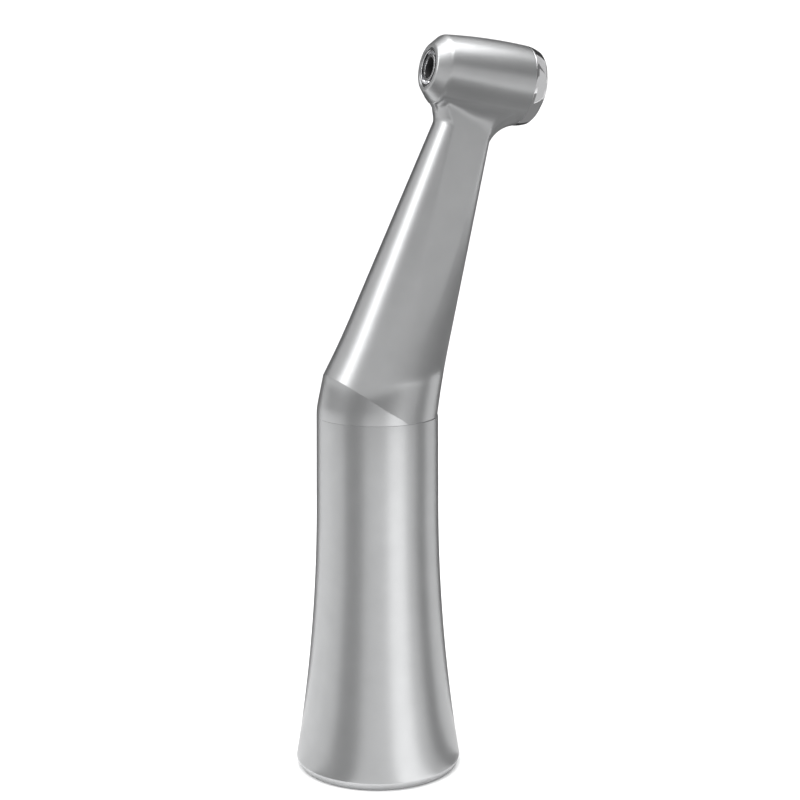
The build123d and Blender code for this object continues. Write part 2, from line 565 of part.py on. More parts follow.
# ---- neck: front shaft ---------------------------------------------------------------------
def make_neck():
    pinion = bevel_gear(
        HEAD_TEETH, HEAD_GEAR_RADIUS, HEAD_CONE, HEAD_GEAR_FACE, FRONT_SHAFT_RADIUS, SHAFT_BORE - FREE_GAP,
        HEAD_HUB_LENGTH, 0
    )
    keep("head_pinion", facing(HEAD_POINT, -NECK_AXIS, -CAP_AXIS), pinion)
    keep("front_shaft", NECK, rod(FRONT_SHAFT_RADIUS, BEND_GEAR_TOE + CUT, NECK_LENGTH - HEAD_GEAR_TOE))
    keep("front_shaft_bush", NECK, tube(SHAFT_BORE, FRONT_SHAFT_RADIUS + RUNNING_GAP, BUSH_LOW, BUSH_HIGH))
    ball_bearing(
        "front_shaft_bearing", NECK, NOSE_BEARING_LOW, FRONT_SHAFT_RADIUS, FRONT_BEARING_RADIUS,
        FRONT_BEARING_WIDTH, FRONT_BALLS
    )
    nut = tube(FOOT_NUT_RADIUS, FOOT_NUT_BORE, FOOT_NUT_LOW, NOSE_BEARING_LOW)
    notch = Pos(FOOT_NUT_RADIUS, 0, FOOT_NUT_LOW) * Box(2 * NOTCH_WIDTH, NOTCH_WIDTH, 2 * NOTCH_DEPTH)
    keep("front_bearing_nut", NECK, nut - around(4, notch))
    gear = bevel_gear(
        BEND_TEETH, BEND_GEAR_RADIUS, BEND_CONE, BEND_GEAR_FACE, FRONT_SHAFT_RADIUS, FRONT_HUB_RADIUS,
        NOSE_BEARING_LOW - BEND_HUB_START, 0
    )
    keep("front_bend_gear", facing(BEND_POINT, NECK_AXIS, -UP), gear)


# ---- handle: rear shaft, carrier, clutch, socket, sleeve -----------------------------------
def drive_claw():
    """Two-jaw claw that the motor's driver turns; it slides on the rear shaft's flats."""
    body = tube(CLAW_RADIUS, REAR_SHAFT_RADIUS + RUNNING_GAP, CLAW_LOW + JAW_HEIGHT, CLAW_HIGH)
    jaws = tube(CLAW_RADIUS, REAR_SHAFT_RADIUS + RUNNING_GAP, CLAW_LOW, CLAW_LOW + JAW_HEIGHT)
    jaws = jaws & (Pos(0, 0, CLAW_LOW) * Box(3 * CLAW_RADIUS, JAW_WIDTH, 3 * JAW_HEIGHT))
    slot_width = 2 * (CROSS_PIN_RADIUS + SLIDE_GAP)
    slot_length = 2 * CROSS_PIN_RADIUS + CLUTCH_TRAVEL + FREE_GAP
    pin_slot = Pos(0, 0, CROSS_PIN_Z - CLUTCH_TRAVEL / 2) * Box(3 * CLAW_RADIUS, slot_width, slot_length)
    return body + jaws - pin_slot


def handle_sleeve():
    """The outer grip: a tube that flares smoothly to its rear rim, with a bevelled rim."""
    rim = (BASE_RADIUS - BASE_BEVEL_DEPTH, 0, 0)
    bevel = (BASE_RADIUS, 0, BASE_BEVEL_HEIGHT)
    flare_top = (SLEEVE_RADIUS, 0, FLARE_HEIGHT)
    top = (SLEEVE_TOP_RADIUS, 0, SLEEVE_TOP_Z)
    flare = Bezier(bevel, (SLEEVE_RADIUS, 0, (BASE_BEVEL_HEIGHT + FLARE_HEIGHT) / 2), flare_top)
    inner = [
        (SLEEVE_BORE, 0, SLEEVE_TOP_Z),
        (SLEEVE_BORE, 0, REAR_RECESS_DEPTH),
        (REAR_RECESS_RADIUS, 0, REAR_RECESS_DEPTH),
        (REAR_RECESS_RADIUS, 0, 0),
    ]
    outline = [Line(rim, bevel), flare, Line(flare_top, top), Polyline(top, *inner, rim)]
    return revolve(make_face(outline), Axis.Z, 360)


def make_handle():
    keep("handle_sleeve", HANDLE, handle_sleeve())
    socket = tube(SOCKET_BORE + SOCKET_WALL, SOCKET_BORE, 0, SOCKET_LENGTH)
    socket += tube(SLEEVE_BORE, SOCKET_BORE, REAR_RECESS_DEPTH, REAR_RECESS_DEPTH + SOCKET_COLLAR)
    socket += tube(SLEEVE_BORE, SOCKET_BORE, SOCKET_LENGTH - SOCKET_COLLAR, SOCKET_LENGTH)
    snap_radius = SOCKET_BORE + SNAP_WIRE + SEAT_GAP
    snap_room = SNAP_WIRE + SNAP_PLAY
    snap_outside = snap_radius + SNAP_WIRE + SLIDE_GAP
    socket -= tube(snap_outside, SOCKET_BORE - CUT, SNAP_Z - snap_room, SNAP_Z + snap_room)
    socket -= ring_cord(SEAL_RADIUS, SEAL_CORD, SOCKET_LENGTH - SOCKET_SEAL_Z)
    keep("motor_socket", HANDLE, socket)
    gap = Pos(SOCKET_BORE, 0, SNAP_Z) * Box(SNAP_GAP, SNAP_GAP, SNAP_GAP)
    keep("socket_snap_ring", HANDLE, ring_cord(snap_radius, SNAP_WIRE, SNAP_Z) - gap)
    cord = SEAL_CORD - SEAL_SQUEEZE - SEAT_GAP
    keep("socket_seal", HANDLE, ring_cord(SEAL_RADIUS, cord, SOCKET_LENGTH - SOCKET_SEAL_Z))
    keep("foot_seal", HANDLE, ring_cord(SEAL_RADIUS, cord, SPIGOT_LOW + FOOT_SEAL_Z))
    carrier = tube(CARRIER_RADIUS, REAR_BEARING_RADIUS, CARRIER_LOW, CARRIER_HIGH)
    carrier += tube(SLEEVE_BORE, REAR_BEARING_RADIUS, CARRIER_LOW, CARRIER_LOW + CARRIER_COLLAR)
    rib_bore = REAR_BEARING_RADIUS - CARRIER_RIB
    carrier += tube(CARRIER_RADIUS, rib_bore, LOWER_BEARING_LOW - CARRIER_RIB, LOWER_BEARING_LOW)
    keep("bearing_carrier", HANDLE, carrier)
    nut_high = CARRIER_HIGH + CARRIER_NUT_HEIGHT
    nut = tube(CARRIER_RADIUS, CARRIER_NUT_BORE, CARRIER_HIGH, nut_high)
    notch = Pos(CARRIER_RADIUS, 0, nut_high) * Box(2 * NOTCH_WIDTH, NOTCH_WIDTH, 2 * NOTCH_DEPTH)
    keep("carrier_nut", HANDLE, nut - around(4, notch, 45))
    keep("spacer_nut", HANDLE, tube(SLEEVE_BORE, CARRIER_RADIUS, SOCKET_LENGTH, CARRIER_LOW))
    ball_bearing(
        "lower_shaft_bearing", HANDLE, LOWER_BEARING_LOW, REAR_SHAFT_RADIUS, REAR_BEARING_RADIUS,
        REAR_BEARING_WIDTH, REAR_BALLS
    )
    ball_bearing(
        "upper_shaft_bearing", HANDLE, UPPER_BEARING_LOW, REAR_SHAFT_RADIUS, REAR_BEARING_RADIUS,
        REAR_BEARING_WIDTH, REAR_BALLS
    )
    spacer_low = LOWER_BEARING_LOW + REAR_BEARING_WIDTH
    outer_bore = REAR_BEARING_RADIUS - OUTER_SPACER_WALL
    inner_outside = REAR_SHAFT_RADIUS + INNER_SPACER_WALL
    keep("outer_spacer", HANDLE, tube(REAR_BEARING_RADIUS, outer_bore, spacer_low, UPPER_BEARING_LOW))
    keep("inner_spacer", HANDLE, tube(inner_outside, REAR_SHAFT_RADIUS, spacer_low, UPPER_BEARING_LOW))
    gear_top = BEND_POINT.Z - BEND_GEAR_TOE - CUT
    shaft = rod(REAR_SHAFT_RADIUS, CLAW_LOW + JAW_HEIGHT, gear_top)
    pin = Pos(0, 0, CROSS_PIN_Z) * Rot(0, 90, 0) * Cylinder(CROSS_PIN_RADIUS, 2 * (CLAW_RADIUS - FREE_GAP))
    keep("rear_shaft", HANDLE, shaft - pin)
    keep("clutch_cross_pin", HANDLE, pin)
    keep("drive_claw", HANDLE, drive_claw())
    collar_low = LOWER_BEARING_LOW - SHAFT_COLLAR_HEIGHT
    collar = tube(CLAW_RADIUS - FREE_GAP, REAR_SHAFT_RADIUS, collar_low, LOWER_BEARING_LOW)
    keep("shaft_collar", HANDLE, collar)
    spring_radius = REAR_SHAFT_RADIUS + SPRING_ROOM
    spring = coil_spring(
        spring_radius, CLUTCH_WIRE, CLAW_HIGH + SEAT_GAP, collar_low - SEAT_GAP, CLUTCH_COILS
    )
    keep("clutch_spring", HANDLE, spring)
    gear = bevel_gear(
        BEND_TEETH, BEND_GEAR_RADIUS, BEND_CONE, BEND_GEAR_FACE, REAR_SHAFT_RADIUS, REAR_HUB_RADIUS,
        BEND_POINT.Z - CARRIER_HIGH - BEND_HUB_START, 180 / BEND_TEETH
    )
    keep("rear_bend_gear", facing(BEND_POINT, -UP, NECK_AXIS), gear)


keep("head_neck_housing", HANDLE, housing())
make_head()
make_neck()
make_handle()
if __name__ == "__main__":
    os.makedirs("parts", exist_ok=True)
    for node, shape in NODES.items():
        shape.label = node
        export_step(shape, f"parts/{node}.step")
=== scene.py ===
import json
import bpy
import numpy as np
from math import cos, pi, radians, sin, tan
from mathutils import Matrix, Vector


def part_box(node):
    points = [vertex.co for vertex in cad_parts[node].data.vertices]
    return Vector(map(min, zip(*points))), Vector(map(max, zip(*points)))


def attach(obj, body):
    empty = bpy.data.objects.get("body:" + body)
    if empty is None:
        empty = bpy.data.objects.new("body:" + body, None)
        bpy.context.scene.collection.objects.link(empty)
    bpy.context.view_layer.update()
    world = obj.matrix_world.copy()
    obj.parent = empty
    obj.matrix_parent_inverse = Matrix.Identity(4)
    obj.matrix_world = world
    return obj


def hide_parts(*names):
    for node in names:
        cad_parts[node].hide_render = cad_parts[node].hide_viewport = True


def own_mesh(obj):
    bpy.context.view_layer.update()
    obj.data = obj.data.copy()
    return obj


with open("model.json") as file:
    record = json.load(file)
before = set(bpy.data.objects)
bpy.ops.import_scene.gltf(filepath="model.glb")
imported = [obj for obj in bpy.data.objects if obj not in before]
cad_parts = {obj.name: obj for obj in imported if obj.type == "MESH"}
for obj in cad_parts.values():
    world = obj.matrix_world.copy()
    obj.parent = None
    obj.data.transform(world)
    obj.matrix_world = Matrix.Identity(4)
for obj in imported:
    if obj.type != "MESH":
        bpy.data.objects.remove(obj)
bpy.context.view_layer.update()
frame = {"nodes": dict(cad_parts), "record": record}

# ---- The room ------------------------------------------------------------------------------
# A pale sweep of paper that runs under the object and up behind it. Curved cards of different
# brightness stand close round the object, so that bare metal shows light and dark bands, and two
# soft boxes light it, one above and one high on the left.

MM = 0.001


def paint(name, colour, roughness, grain_scale, grain_depth, metallic=0.0):
    """A material whose colour and roughness both wander a little with two sizes of noise."""
    cloud_size = 25
    darkest, lightest = 0.93, 1.05
    smoothest, roughest = 0.85, 1.15
    material = bpy.data.materials.new(name)
    material.use_nodes = True
    nodes, links = material.node_tree.nodes, material.node_tree.links
    surface = nodes["Principled BSDF"]
    surface.inputs["Metallic"].default_value = metallic
    place = nodes.new("ShaderNodeTexCoord")
    grain = nodes.new("ShaderNodeTexNoise")
    grain.inputs["Scale"].default_value = grain_scale
    grain.inputs["Detail"].default_value = 4.0
    cloud = nodes.new("ShaderNodeTexNoise")
    cloud.inputs["Scale"].default_value = grain_scale / cloud_size
    cloud.inputs["Detail"].default_value = 2.0
    for noise in (grain, cloud):
        links.new(place.outputs["Object"], noise.inputs["Vector"])
    shade = nodes.new("ShaderNodeMapRange")
    shade.inputs["To Min"].default_value = darkest
    shade.inputs["To Max"].default_value = lightest
    links.new(cloud.outputs["Fac"], shade.inputs["Value"])
    tint = nodes.new("ShaderNodeMix")
    tint.data_type = "RGBA"
    tint.blend_type = "MULTIPLY"
    tint.inputs["Factor"].default_value = 1.0
    tint.inputs[6].default_value = (*colour, 1)
    links.new(shade.outputs["Result"], tint.inputs[7])
    links.new(tint.outputs[2], surface.inputs["Base Color"])
    rough = nodes.new("ShaderNodeMapRange")
    rough.inputs["To Min"].default_value = roughness * smoothest
    rough.inputs["To Max"].default_value = roughness * roughest
    links.new(grain.outputs["Fac"], rough.inputs["Value"])
    links.new(rough.outputs["Result"], surface.inputs["Roughness"])
    bump = nodes.new("ShaderNodeBump")
    bump.inputs["Distance"].default_value = grain_depth
    bump.inputs["Strength"].default_value = 1.0
    links.new(grain.outputs["Fac"], bump.inputs["Height"])
    links.new(bump.outputs["Normal"], surface.inputs["Normal"])
    return material


def grid_mesh(name, points, material, sharp=30.0, low_pole=None, high_pole=None):
    """A closed band of quads: points is (rows, columns, 3), and each row closes on itself.

    If the last row repeats the first, the band closes along its rows too. With a pole, the
    first or last row is joined to one point by triangles.
    """
    ring = np.allclose(points[0], points[-1], atol=1e-9)
    points = points[:-1] if ring else points
    rows, columns, _ = points.shape
    index = np.arange(rows * columns).reshape(rows, columns)
    index = np.concatenate([index, index[:1]]) if ring else index
    after = np.roll(index, -1, axis=1)
    quads = np.stack([index[:-1], after[:-1], after[1:], index[1:]], axis=-1).reshape(-1, 4)
    vertices = [points.reshape(-1, 3)]
    faces = quads.tolist()
    count = rows * columns
    if low_pole is not None:
        vertices.append(np.array([low_pole]))
        faces += np.stack([after[0], index[0], np.full(columns, count)], axis=-1).tolist()
        count += 1
    if high_pole is not None:
        vertices.append(np.array([high_pole]))
        faces += np.stack([index[-1], after[-1], np.full(columns, count)], axis=-1).tolist()
    mesh = bpy.data.meshes.new(name)
    mesh.from_pydata(np.concatenate(vertices).tolist(), [], faces)
    mesh.materials.append(material)
    mesh.shade_smooth()
    mesh.set_sharp_from_angle(angle=radians(sharp))
    piece = bpy.data.objects.new(name, mesh)
    bpy.context.collection.objects.link(piece)
    return piece


def sweep_of_paper():
    """Paper sheet: flat floor, a quarter-round rise, then a straight wall, behind the object."""
    heading = radians(22.2)
    ahead = np.array([sin(heading), cos(heading), 0])
    aside = np.array([cos(heading), -sin(heading), 0])
    turn = np.linspace(0, pi / 2, 25)
    near, bend, radius, height, half = -0.9, 0.28, 0.25, 1.0, 1.2
    along = np.concatenate([[near], bend + radius * np.sin(turn), [bend + radius]])
    up = np.concatenate([[0], radius * (1 - np.cos(turn)), [height]])
    left = along[:, None] * ahead - half * aside + up[:, None] * np.array([0, 0, 1])
    right = left + 2 * half * aside
    vertices = np.concatenate([left, right])
    count = len(along)
    low = np.arange(count - 1)
    faces = np.stack([low, low + count, low + count + 1, low + 1], axis=-1)
    mesh = bpy.data.meshes.new("paper_sweep")
    mesh.from_pydata(vertices.tolist(), [], faces.tolist())
    mesh.materials.append(paint("studio_paper", (0.93, 0.93, 0.93), 0.9, 300, 0.00002))
    mesh.shade_smooth()
    sheet = bpy.data.objects.new("paper_sweep", mesh)
    bpy.context.collection.objects.link(sheet)
    return sheet


sweep_of_paper()

world = bpy.data.worlds.new("studio")
world.use_nodes = True
world.node_tree.nodes["Background"].inputs["Color"].default_value = (1, 1, 1, 1)
world.node_tree.nodes["Background"].inputs["Strength"].default_value = 0.7
bpy.context.scene.world = world
bpy.context.scene.view_settings.view_transform = "Standard"

CAMERA_HEADING, CAMERA_DOWN = 22.23, 10.32
MIDDLE = Vector((0, 0, 45 * MM))


def direction(turn, rise):
    """Unit vector from the object: turn is degrees to the right of the camera, rise is upwards."""
    bearing = radians(CAMERA_HEADING + 180 - turn)
    level = cos(radians(rise))
    return Vector((sin(bearing) * level, cos(bearing) * level, sin(radians(rise))))


def soft_box(name, turn, rise, distance, width, height, power):
    """A rectangular soft light that faces the object, placed by its bearing from the camera."""
    light = bpy.data.lights.new(name, "AREA")
    light.shape = "RECTANGLE"
    light.size = width
    light.size_y = height
    light.energy = power
    lamp = bpy.data.objects.new(name, light)
    lamp.location = MIDDLE + direction(turn, rise) * distance
    lamp.rotation_euler = (MIDDLE - lamp.location).to_track_quat("-Z", "Y").to_euler()
    bpy.context.collection.objects.link(lamp)


def card(name, turns, stations, brightness):
    """A curved card lit evenly: an arc about the handle axis, carried along straight runs.

    turns are the two ends of the arc, in degrees from the camera; each station is a distance
    from the axis and a height, in millimetres. Only reflections see it.
    """
    columns = 33
    turn = np.radians(CAMERA_HEADING + 180 - np.linspace(*turns, columns))
    stations = np.array(stations, float) * MM
    distance, height = stations[:, :1], stations[:, 1:]
    east, north = distance * np.sin(turn), distance * np.cos(turn)
    points = np.stack([east, north, height + 0 * turn], axis=-1)
    index = np.arange(len(stations) * columns).reshape(len(stations), columns)
    faces = np.stack([index[:-1, :-1], index[:-1, 1:], index[1:, 1:], index[1:, :-1]], axis=-1)
    mesh = bpy.data.meshes.new(name)
    mesh.from_pydata(points.reshape(-1, 3).tolist(), [], faces.reshape(-1, 4).tolist())
    glow = bpy.data.materials.new(name)
    glow.use_nodes = True
    surface = glow.node_tree.nodes["Principled BSDF"]
    surface.inputs["Base Color"].default_value = (0, 0, 0, 1)
    surface.inputs["Specular IOR Level"].default_value = 0
    surface.inputs["Emission Color"].default_value = (1, 1, 1, 1)
    surface.inputs["Emission Strength"].default_value = brightness
    mesh.materials.append(glow)
    panel = bpy.data.objects.new(name, mesh)
    panel.visible_camera = False
    panel.visible_diffuse = False
    panel.visible_shadow = False
    bpy.context.collection.objects.link(panel)


BESIDE_RIM, NECK_FOOT_HEIGHT, CEILING_HEIGHT = (11, 0.4), 48, 233
LOW_WALL = [BESIDE_RIM, (70, 0.6), (70, 46)]
card("rear_flag", (136, 224), [BESIDE_RIM, (140, 0.6), (140, 200)], 0.06)
card("left_glow", (-128, -88), LOW_WALL, 1.1)
card("left_grey", (-88, -60), LOW_WALL, 0.95)
card("left_shade", (-60, -24), LOW_WALL, 0.42)
card("front_grey", (-24, 20), LOW_WALL, 0.95)
card("right_glow", (20, 52), LOW_WALL, 1.7)
card("right_grey", (52, 74), LOW_WALL, 0.85)
card("right_shade", (74, 98), LOW_WALL, 0.32)
card("right_rear_glow", (98, 130), LOW_WALL, 0.95)
card("under_shade", (-110, 150), [(10, NECK_FOOT_HEIGHT), (110, NECK_FOOT_HEIGHT)], 0.28)
card("brow_shade", (-60, 100), [(120, 118), (120, 175), (100, 226)], 0.22)
card("ceiling", (-110, 110), [(0.5, CEILING_HEIGHT), (100, CEILING_HEIGHT)], 2.1)
soft_box("overhead_box", -10, 78, 0.45, 0.5, 0.5, 3.0)
soft_box("left_high_box", -79, 38, 0.22, 0.075, 0.16, 0.105)

camera = bpy.data.objects.new("camera", bpy.data.cameras.new("camera"))
camera.data.lens = 79.72
camera.data.sensor_width = 36.0
camera.data.clip_start = 0.01
camera.location = Vector((-75.835, -192.68, 82.90)) * MM
camera.rotation_euler = (radians(90 - CAMERA_DOWN), 0, radians(-CAMERA_HEADING))
bpy.context.collection.objects.link(camera)
bpy.context.scene.camera = camera


# ---- The handle sleeve ---------------------------------------------------------------------
# The grip: a turned steel tube, fine-blasted to a satin grey, flared like a trumpet to its rear
# rim, with a bevelled rim edge. It slides over the neck's foot and the motor socket.

COLUMNS = 192
UP = np.array([0.0, 0.0, 1.0])


def axes_of(origin, axis, toward):
    """Origin and three unit vectors: X on the side of toward, Y across, Z along axis."""
    z = np.array(axis) / np.linalg.norm(axis)
    x = np.array(toward) - z * np.dot(toward, z)
    x = x / np.linalg.norm(x)
    return np.array(origin, float), x, np.cross(z, x), z


def eased(corners, radius, steps=5):
    """An outline with every corner replaced by a short arc, from (radius, height) corners."""
    corners = [np.array(c, float) for c in corners]
    out = [corners[0]]
    for before, here, beyond in zip(corners, corners[1:], corners[2:]):
        back, on = before - here, beyond - here
        reach = min(radius, 0.45 * np.linalg.norm(back), 0.45 * np.linalg.norm(on))
        start = here + back / max(np.linalg.norm(back), 1e-12) * reach
        end = here + on / max(np.linalg.norm(on), 1e-12) * reach
        s = np.linspace(0, 1, steps)[:, None]
        out += list((1 - s) ** 2 * start + 2 * s * (1 - s) * here + s**2 * end)
    out.append(corners[-1])
    return np.array(out)


def turned(name, outline, axes, material, columns=COLUMNS, sharp=30.0, trim=None):
    """Surface of revolution: each (radius, height) of the outline is carried round the axis.

    A first or last point on the axis becomes a pole. trim, if given, limits the radius: it
    is called with the radius, height and angle grids.
    """
    origin, x, y, z = axes
    poles = [origin + h * z if r < 1e-9 else None for r, h in (outline[0], outline[-1])]
    outline = outline[outline[:, 0] > 1e-9]
    angle = np.linspace(0, 2 * pi, columns, endpoint=False)
    radius = np.repeat(outline[:, :1], columns, axis=1)
    height = np.repeat(outline[:, 1:], columns, axis=1)
    if trim is not None:
        radius = trim(radius, height, angle[None, :])
    points = (
        origin
        + radius[..., None] * (np.cos(angle)[:, None] * x + np.sin(angle)[:, None] * y)
        + height[..., None] * z
    )
    return grid_mesh(name, points, material, sharp, *poles)


def fit(piece, body, slot, *nodes):
    """The piece rides on a body and stands for the named CAD nodes; the slot is not used."""
    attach(piece, body)
    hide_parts(*nodes)


satin_steel = paint("satin_blasted_steel", (0.50, 0.505, 0.51), 0.34, 9000, 0.0000012, 1.0)
_, sleeve_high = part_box("handle_sleeve")
SLEEVE_TOP = sleeve_high[2]
BASE_RADIUS = sleeve_high[0]
JOINT_RADIUS = 7.23 * MM
handle_axes = axes_of((0, 0, 0), UP, (1, 0, 0))


def sleeve_outline():
    """Rim, bevel, parabolic flare, straight grip, and the bore back down to the rim."""
    grip, bore, recess = 7.3 * MM, 6.3 * MM, 8.2 * MM
    bevel_high, bevel_deep, recess_deep, flare_top = 1.0 * MM, 0.6 * MM, 1.6 * MM, 34 * MM
    rim_ease, mouth_ease = 0.12 * MM, 0.05 * MM
    height = np.linspace(bevel_high, flare_top, 60)[1:]
    rise = (flare_top - height) / (flare_top - bevel_high)
    flare = np.stack([grip + (BASE_RADIUS - grip) * rise**2, height], axis=-1)
    rim = [(recess, 0), (BASE_RADIUS - bevel_deep, 0), (BASE_RADIUS, bevel_high), flare[0]]
    mouth = [flare[-1], (JOINT_RADIUS, SLEEVE_TOP), (bore, SLEEVE_TOP), (bore, recess_deep)]
    mouth += [(recess, recess_deep), (recess, 0)]
    return np.concatenate([eased(rim, rim_ease)[:-1], flare[:-1], eased(mouth, mouth_ease)])


sleeve = turned("sleeve_shell", sleeve_outline(), handle_axes, satin_steel)
fit(sleeve, "handpiece_body", "satin_metal", "handle_sleeve")


# ---- The head barrel -----------------------------------------------------------------------
# The front end of the one-piece steel body: a short barrel, a little fuller towards the cap, with
# a wide bevel round the bur opening. Same blasted finish as the sleeve; bored right through.

joints = {joint["name"]: joint for joint in frame["record"]["behaviour"]["joints"]}
HEAD_POINT = np.array(joints["spindle_spin"]["pos_m"])
CAP_AXIS = -np.array(joints["spindle_spin"]["axis"])
BEND_POINT = np.array(joints["front_shaft_spin"]["pos_m"])
NECK_AXIS = np.array(joints["front_shaft_spin"]["axis"])
NECK_LENGTH = float(np.dot(HEAD_POINT - BEND_POINT, NECK_AXIS))
head_axes = axes_of(HEAD_POINT, CAP_AXIS, UP)

FACE, EDGE, MIDWAY, SEAM = -6.52 * MM, -5.27 * MM, 0.6 * MM, 5.34 * MM
FACE_RADIUS, EDGE_RADIUS, MIDWAY_RADIUS, SEAM_RADIUS = 2.75 * MM, 4.06 * MM, 4.65 * MM, 4.75 * MM
SHIELD_SEAT, SHIELD_RADIUS, OPENING_RADIUS = -6.07 * MM, 2.35 * MM, 1.95 * MM
THREAD_RADIUS, THREAD_LOW = 3.95 * MM, 4.64 * MM
HEAD_COLUMNS = 256


def barrel_radius(height):
    """Radius of the barrel: a parabola through edge, midway and seam, and the bevel's cone."""
    a, b, c = EDGE, MIDWAY, SEAM
    side = (
        EDGE_RADIUS * (height - b) * (height - c) / ((a - b) * (a - c))
        + MIDWAY_RADIUS * (height - a) * (height - c) / ((b - a) * (b - c))
        + SEAM_RADIUS * (height - a) * (height - b) / ((c - a) * (c - b))
    )
    bevel = EDGE_RADIUS + (height - EDGE) * (EDGE_RADIUS - FACE_RADIUS) / (EDGE - FACE)
    return np.where(height < EDGE, bevel, side)


def barrel_outline():
    """Bur opening, face, bevel, bulging side, cap seat, then the bearing bore back down."""
    room, floor = 3.175 * MM, -5.9 * MM
    bevel_ease, lip_ease = 0.32 * MM, 0.05 * MM
    height = np.linspace(EDGE, SEAM, 60)
    side = np.stack([barrel_radius(height), height], axis=-1)
    front = [(SHIELD_RADIUS, FACE), (FACE_RADIUS, FACE), (EDGE_RADIUS, EDGE), side[4]]
    lip = [side[-2], (SEAM_RADIUS, SEAM), (THREAD_RADIUS, SEAM)]
    back = [(THREAD_RADIUS, THREAD_LOW), (room, THREAD_LOW), (room, floor), (OPENING_RADIUS, floor)]
    back += [(OPENING_RADIUS, SHIELD_SEAT), (SHIELD_RADIUS, SHIELD_SEAT), (SHIELD_RADIUS, FACE)]
    front, lip = eased(front, bevel_ease, 9), eased(lip, lip_ease)
    return np.concatenate([front[:-1], side[4:-2], lip, back])


barrel = turned("head_barrel", barrel_outline(), head_axes, satin_steel, HEAD_COLUMNS)
fit(barrel, "handpiece_body", "satin_metal", "head_neck_housing")


# ---- The neck and its slanted foot ---------------------------------------------------------
# The same piece of steel below the barrel: a taper with a slanted face under the bend, two long
# flats that run out into the head, and a spigot that goes down into the sleeve.

NECK_COLUMNS = 320
_, NECK_X, NECK_Y, _ = axes_of(BEND_POINT, NECK_AXIS, (1, 0, 0))
azimuth = np.linspace(0, 2 * pi, NECK_COLUMNS, endpoint=False)
outward = np.cos(azimuth)[:, None] * NECK_X + np.sin(azimuth)[:, None] * NECK_Y


def soft_min(a, b, width):
    """The smaller of two values, rounded off where they are within width of each other."""
    near = np.maximum(width - np.abs(a - b), 0) / width
    return np.minimum(a, b) - near**2 * width / 4


def cone_radius(along):
    """Neck cone, opened out in a parabola at its foot and by a steeper cone under the head.

    The foot opens more in the plane of the bend than across it, and the steeper cone is a
    little fuller on the bur side.
    """
    root, taper, ease = 7.0 * MM, radians(5.92), 0.22 * MM
    foot_top, foot_span, foot_least, foot_more = 9 * MM, 15 * MM, 0.4, 0.75
    web_root, web_start, web_taper, chin = 3.48 * MM, 33.95 * MM, radians(24.5), 0.1 * MM
    cone = root - along * tan(taper)
    foot = np.maximum(foot_top - along, 0) / foot_span
    web = web_root + (along - web_start) * tan(web_taper) + chin * np.maximum(-np.cos(azimuth), 0)
    opening = (foot_least + foot_more * np.cos(azimuth) ** 2) * MM
    return -soft_min(-cone - opening * foot**2, -web, ease)


def slant_radius(along):
    """Where a ray square to the neck axis meets the joint circle carried up its slope.

    The circle goes straight up at first, and its centre moves aside in a short parabola and
    then at 12.4 degrees. The radius and the centre's shift are found in turn, twelve times.
    """
    slope, collar = tan(radians(12.4)), 1.7 * MM
    start = BEND_POINT + along[..., None] * NECK_AXIS
    radius = 0 * along + JOINT_RADIUS
    square = outward[:, 0] ** 2 + outward[:, 1] ** 2
    for _ in range(12):
        rise = np.maximum(start[..., 2] + radius * outward[:, 2] - SLEEVE_TOP, 0)
        shift = slope * np.where(rise < collar, rise**2 / (2 * collar), rise - collar / 2)
        x = start[..., 0] - shift
        half = x * outward[:, 0]
        radius = (-half + np.sqrt(half**2 - square * (x**2 - JOINT_RADIUS**2))) / square
    return radius


def flat_radius(along):
    """Where a ray square to the neck axis meets a side flat, which leans in by 8.2 degrees."""
    head_depth, head_along, lean = 2.42 * MM, 35.0 * MM, radians(8.2)
    depth = head_depth + (head_along - along) * tan(lean)
    return depth / np.maximum(np.abs(np.sin(azimuth)), 1e-3)


def neck_surface(along):
    """Points of the neck at distances up its axis, an array with one column per azimuth."""
    ridge = 0.16 * MM
    radius = np.minimum(cone_radius(along), slant_radius(along))
    radius = soft_min(radius, flat_radius(along), ridge)
    return BEND_POINT + along[..., None] * NECK_AXIS + radius[..., None] * outward


def halved(low, high, above):
    """The place between low and high where above() turns false, by forty halvings."""
    for _ in range(40):
        middle = (low + high) / 2
        keep = above(middle)
        low, high = np.where(keep, middle, low), np.where(keep, high, middle)
    return (low + high) / 2


def outside_barrel(points):
    """Distance of points from the barrel's surface, positive outside."""
    from_head = points - HEAD_POINT
    height = from_head @ CAP_AXIS
    across = np.linalg.norm(from_head - height[..., None] * CAP_AXIS, axis=-1)
    return across - barrel_radius(height)


def on_barrel(height, turn, sink=0.0):
    """Points of the barrel and their rays from its axis; turn is 0 straight down the neck."""
    down = CAP_AXIS * np.dot(NECK_AXIS, CAP_AXIS) - NECK_AXIS
    down = down / np.linalg.norm(down)
    ray = np.cos(turn)[:, None] * down + np.sin(turn)[:, None] * NECK_Y
    radius = barrel_radius(height) - sink
    return HEAD_POINT + height[:, None] * CAP_AXIS + radius[:, None] * ray, ray


def spread(start, end, shares):
    """Rows of distances between two per-azimuth distances, at the given shares of the way."""
    return start + np.asarray(shares)[:, None] * (end - start)


def circle(centre, x, y, radius):
    """One row of points on a circle, one for each azimuth."""
    return centre + radius * (np.cos(azimuth)[:, None] * x + np.sin(azimuth)[:, None] * y)


